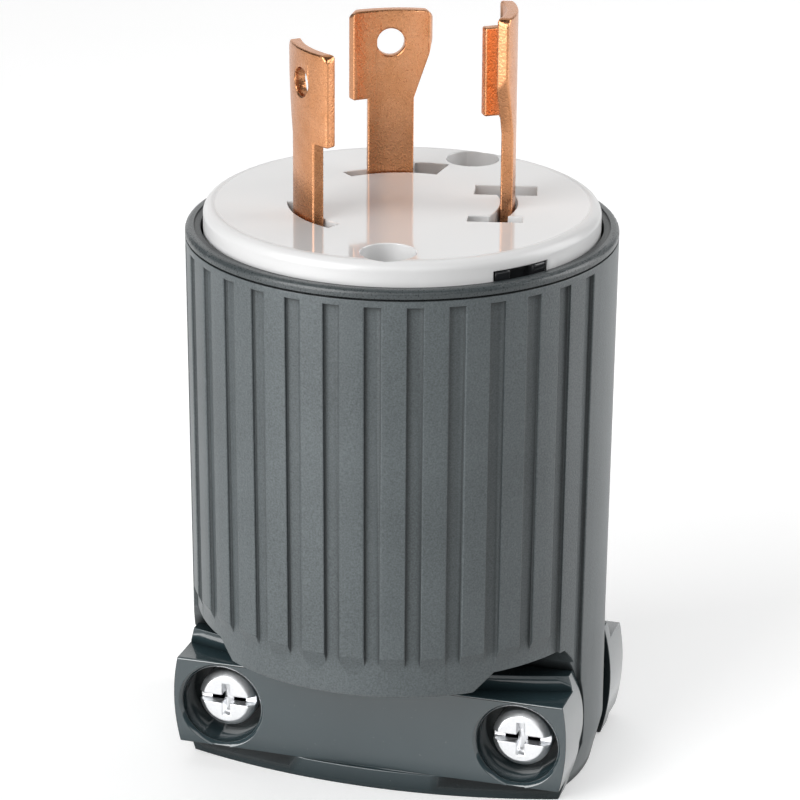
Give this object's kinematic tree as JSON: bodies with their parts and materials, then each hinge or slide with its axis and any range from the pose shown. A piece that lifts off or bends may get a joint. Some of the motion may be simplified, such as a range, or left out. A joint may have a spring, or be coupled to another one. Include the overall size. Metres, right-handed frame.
{
  "type": "locking power plug",
  "caption": "Round locking plug with curved blades rising from a glossy face, a fluted drum housing and a two-bar cord clamp held by screws.",
  "frame": {"origin": "centre of the box's bottom, on the plug's axis, at the foot of the housing's wings", "axes": "+Z along the plug's axis towards the tips of the blades; -Y is the front, where the clamp screws go in"},
  "size_m": [0.0552, 0.0552, 0.1006],
  "materials": {
    "housing_grey": "fine satin grain",
    "face_white": "high gloss",
    "block_black": "moulded matte",
    "key_black": "gloss",
    "blade_copper": "drawn copper alloy, lightly brushed",
    "terminal_brass": "satin brass",
    "ground_green": "green plated",
    "zinc_steel": "bright zinc plate",
    "clamp_grey": "semi-gloss moulded"
  },
  "bodies": {
    "root": {"housing": "housing_grey", "face_plate": "face_white", "terminal_block": "block_black", "blade_retainer": "block_black", "retainer_screw": "zinc_steel", "latch_key": "key_black", "blade_back": "blade_copper", "blade_left": "blade_copper", "ground_blade": "blade_copper", "plate_back": "terminal_brass", "plate_left": "terminal_brass", "plate_ground": "terminal_brass", "line_terminal_screws": "terminal_brass", "ground_terminal_screw": "ground_green", "assembly_screws": "zinc_steel", "threaded_inserts": "terminal_brass", "clamp_front": "clamp_grey", "clamp_rear": "clamp_grey", "clamp_screws": "zinc_steel", "clamp_nuts": "zinc_steel"}
  },
  "joints": []
}
